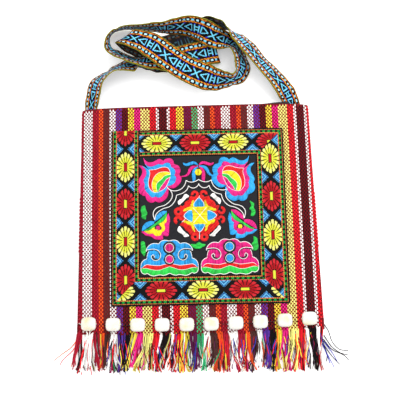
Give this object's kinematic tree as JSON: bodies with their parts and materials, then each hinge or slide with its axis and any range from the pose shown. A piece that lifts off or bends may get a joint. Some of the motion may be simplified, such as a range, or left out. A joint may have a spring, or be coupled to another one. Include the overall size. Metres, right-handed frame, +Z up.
{
  "type": "embroidered shoulder bag",
  "caption": "Flat striped cloth shoulder bag lying on its back, with an embroidered square framed by a flower ribbon, a beaded bottom seam, a yarn fringe and a loose woven strap.",
  "frame": {"origin": "on the surface the bag lies on, under the middle of the bag and its fringe, strap left out", "axes": "+X across the bag to its right, +Y from the fringe to the mouth, +Z up from the surface"},
  "size_m": [0.3172, 0.4017, 0.0346],
  "materials": {
    "striped_cloth": "plain-woven cotton stripes",
    "facing_cloth": "plain black cotton",
    "black_cloth": "plain black cotton with satin stitch",
    "border_ribbon": "woven flower ribbon",
    "fringe_yarn": "loose cotton yarn",
    "strap_ribbon": "woven patterned ribbon",
    "bead_resin": "polished white resin"
  },
  "bodies": {
    "root": {"back_panel": "striped_cloth", "front_panel": "striped_cloth", "mouth_facing": "facing_cloth", "embroidered_panel": "black_cloth", "border_ribbon": "border_ribbon", "fringe": "fringe_yarn", "strap": "strap_ribbon", "bead_1": "bead_resin", "bead_2": "bead_resin", "bead_3": "bead_resin", "bead_4": "bead_resin", "bead_5": "bead_resin", "bead_6": "bead_resin", "bead_7": "bead_resin", "bead_8": "bead_resin", "bead_9": "bead_resin", "bead_10": "bead_resin"}
  },
  "joints": []
}
